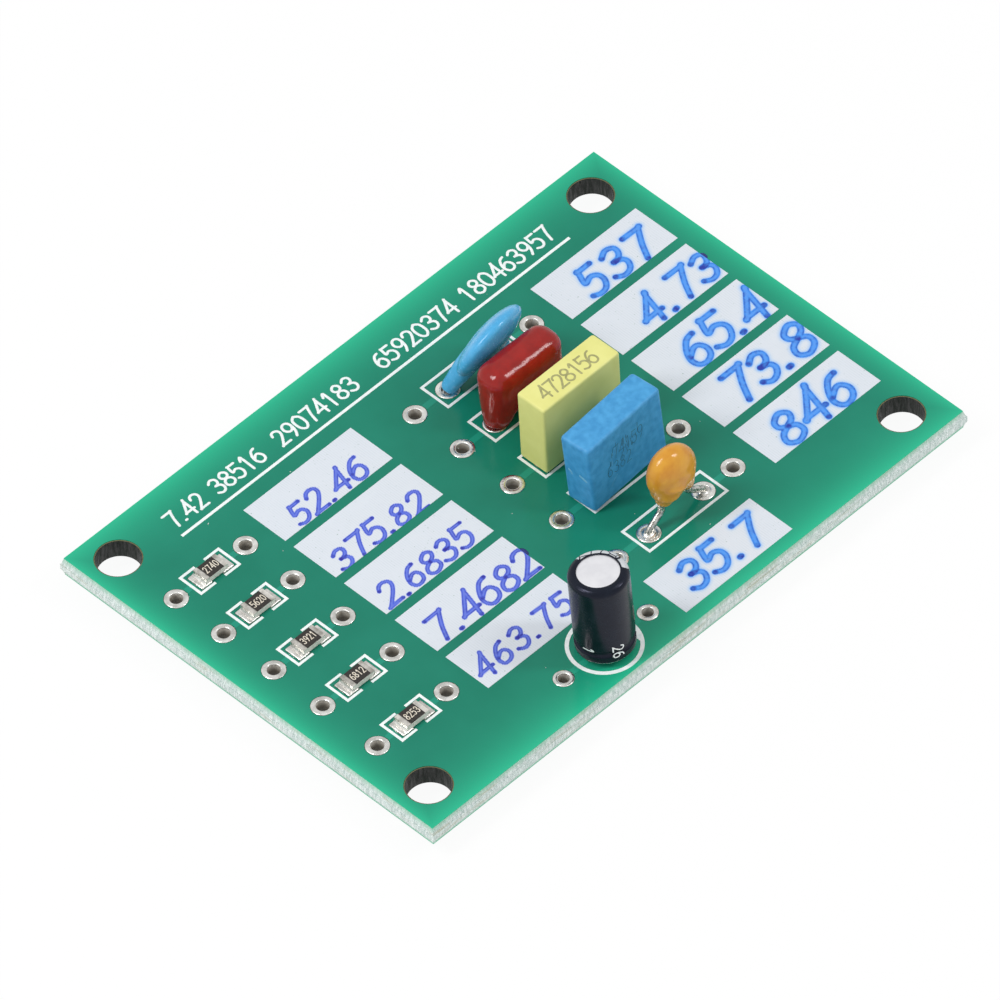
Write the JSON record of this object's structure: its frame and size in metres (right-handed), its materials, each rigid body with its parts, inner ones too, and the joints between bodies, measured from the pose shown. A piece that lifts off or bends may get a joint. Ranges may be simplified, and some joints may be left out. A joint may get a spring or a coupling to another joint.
{
  "type": "resistance and capacitance standard board",
  "caption": "Small rectangular circuit board with chip resistors and radial capacitors, plated test points, white label panels and corner mounting holes.",
  "frame": {"origin": "centre of the four mounting holes, on the board's underside", "axes": "+X along the long title edge, towards the capacitors' label panels; +Y across the board, towards the title edge; +Z out of the component side"},
  "size_m": [0.0499, 0.0347, 0.0101],
  "materials": {
    "glass_epoxy": "woven glass-epoxy laminate, fibres torn along the snapped edges",
    "copper": "etched copper foil under the solder mask",
    "solder_mask": "glossy translucent green solder mask",
    "white_ink": "flat white screen-printed ink",
    "tinned_copper": "hot-air levelled tin over plated copper",
    "solder": "bright wetted solder with flux traces",
    "resistive_film": "fired resistive film",
    "alumina": "fired white alumina",
    "tinned_nickel": "plated tin over nickel",
    "black_overcoat": "glossy black glass overcoat",
    "blue_dip": "satin sky-blue dipped resin",
    "disc_ceramic": "fired ceramic",
    "silver_electrode": "fired silver metal",
    "tinned_wire": "tinned wire",
    "red_dip": "glossy dark red dipped epoxy",
    "metallised_film": "wound metallised plastic film",
    "sprayed_zinc": "rough sprayed end metal",
    "yellow_case": "satin moulded yellow plastic",
    "potting_epoxy": "cast epoxy",
    "blue_case": "satin moulded blue plastic with scuffs",
    "orange_dip": "glossy orange dipped epoxy",
    "black_sleeve": "glossy black heat-shrunk sleeve with a printed stripe",
    "can_aluminium": "bright drawn aluminium",
    "bung_rubber": "moulded rubber",
    "foil_roll": "foil and paper roll"
  },
  "bodies": {
    "root": {"laminate_core": "glass_epoxy", "copper_tracks": "copper", "solder_mask_top": "solder_mask", "solder_mask_bottom": "solder_mask", "silkscreen_outlines": "white_ink", "silkscreen_label_panels": "white_ink", "silkscreen_title_rule": "white_ink", "test_point_barrels": "tinned_copper", "lead_hole_barrels": "tinned_copper", "chip_solder_fillets": "solder", "lead_solder_joints": "solder", "resistor_film_elements": "resistive_film", "resistor_1_substrate": "alumina", "resistor_2_substrate": "alumina", "resistor_3_substrate": "alumina", "resistor_4_substrate": "alumina", "resistor_5_substrate": "alumina", "resistor_1_end_caps": "tinned_nickel", "resistor_2_end_caps": "tinned_nickel", "resistor_3_end_caps": "tinned_nickel", "resistor_4_end_caps": "tinned_nickel", "resistor_5_end_caps": "tinned_nickel", "resistor_1_overcoat": "black_overcoat", "resistor_2_overcoat": "black_overcoat", "resistor_3_overcoat": "black_overcoat", "resistor_4_overcoat": "black_overcoat", "resistor_5_overcoat": "black_overcoat", "disc_capacitor_coating": "blue_dip", "disc_capacitor_dielectric": "disc_ceramic", "disc_capacitor_electrodes": "silver_electrode", "disc_capacitor_leads": "tinned_wire", "film_capacitor_coating": "red_dip", "film_capacitor_winding": "metallised_film", "film_capacitor_end_spray": "sprayed_zinc", "film_capacitor_leads": "tinned_wire", "yellow_capacitor_case": "yellow_case", "yellow_capacitor_potting": "potting_epoxy", "yellow_capacitor_winding": "metallised_film", "yellow_capacitor_end_spray": "sprayed_zinc", "yellow_capacitor_leads": "tinned_wire", "blue_capacitor_case": "blue_case", "blue_capacitor_potting": "potting_epoxy", "blue_capacitor_winding": "metallised_film", "blue_capacitor_end_spray": "sprayed_zinc", "blue_capacitor_leads": "tinned_wire", "multilayer_capacitor_coating": "orange_dip", "multilayer_capacitor_chip": "disc_ceramic", "multilayer_capacitor_end_metal": "silver_electrode", "multilayer_capacitor_leads": "tinned_wire", "electrolytic_capacitor_sleeve": "black_sleeve", "electrolytic_capacitor_can": "can_aluminium", "electrolytic_capacitor_bung": "bung_rubber", "electrolytic_capacitor_winding": "foil_roll", "electrolytic_capacitor_leads": "tinned_wire"}
  },
  "joints": []
}
